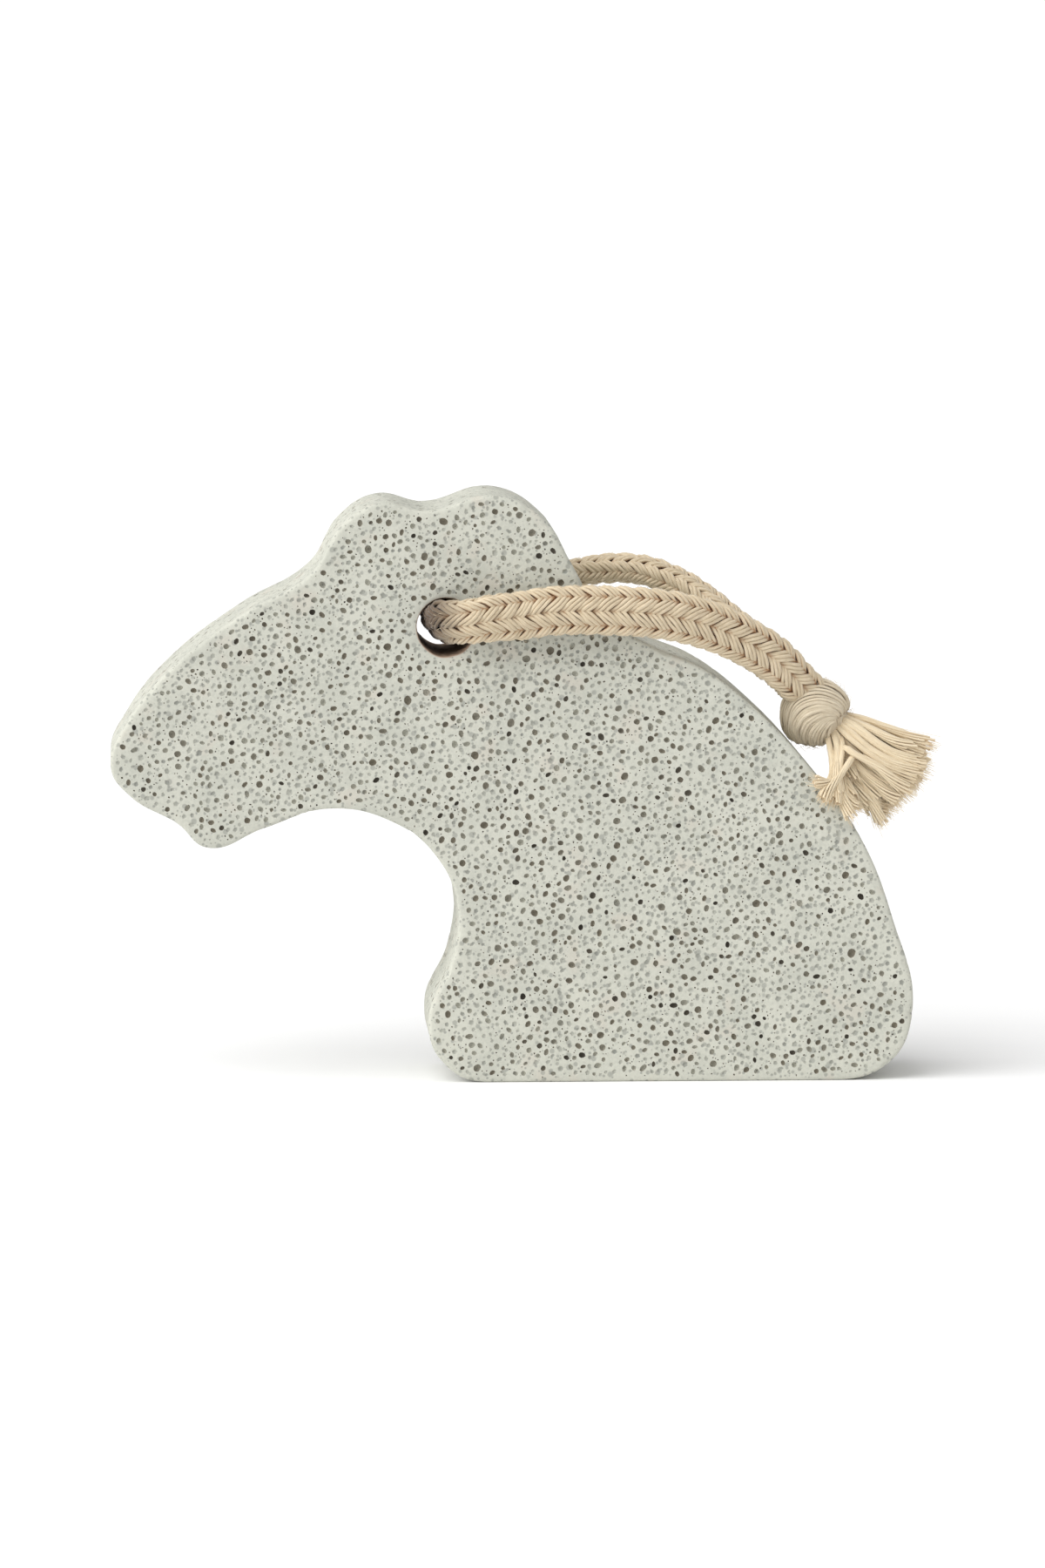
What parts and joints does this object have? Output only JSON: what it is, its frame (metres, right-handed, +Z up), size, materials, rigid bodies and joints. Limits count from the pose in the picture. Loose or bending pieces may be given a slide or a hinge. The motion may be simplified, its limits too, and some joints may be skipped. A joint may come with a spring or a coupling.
{
  "type": "pumice stone",
  "caption": "Pumice foot stone, a flat slab in the outline of an animal's head that stands on its neck, drilled for a braided cotton hanging cord with a knot and a frayed tassel.",
  "frame": {"origin": "on the ground under the middle of the stone's length and thickness; the cord, its knot and its tassel are not counted", "axes": "+Z up, front face toward -Y, nose toward -X, back of the neck toward +X"},
  "size_m": [0.1269, 0.0352, 0.0903],
  "materials": {
    "pumice": "sawn, matt, full of open pits",
    "cotton_braid": "undyed cotton, herringbone braid",
    "cotton_knot": "undyed cotton yarns, pulled tight",
    "cotton_fray": "undyed cotton yarns, frayed"
  },
  "bodies": {
    "root": {"pumice_stone": "pumice", "cord": "cotton_braid", "knot": "cotton_knot", "tassel": "cotton_fray"}
  },
  "joints": []
}
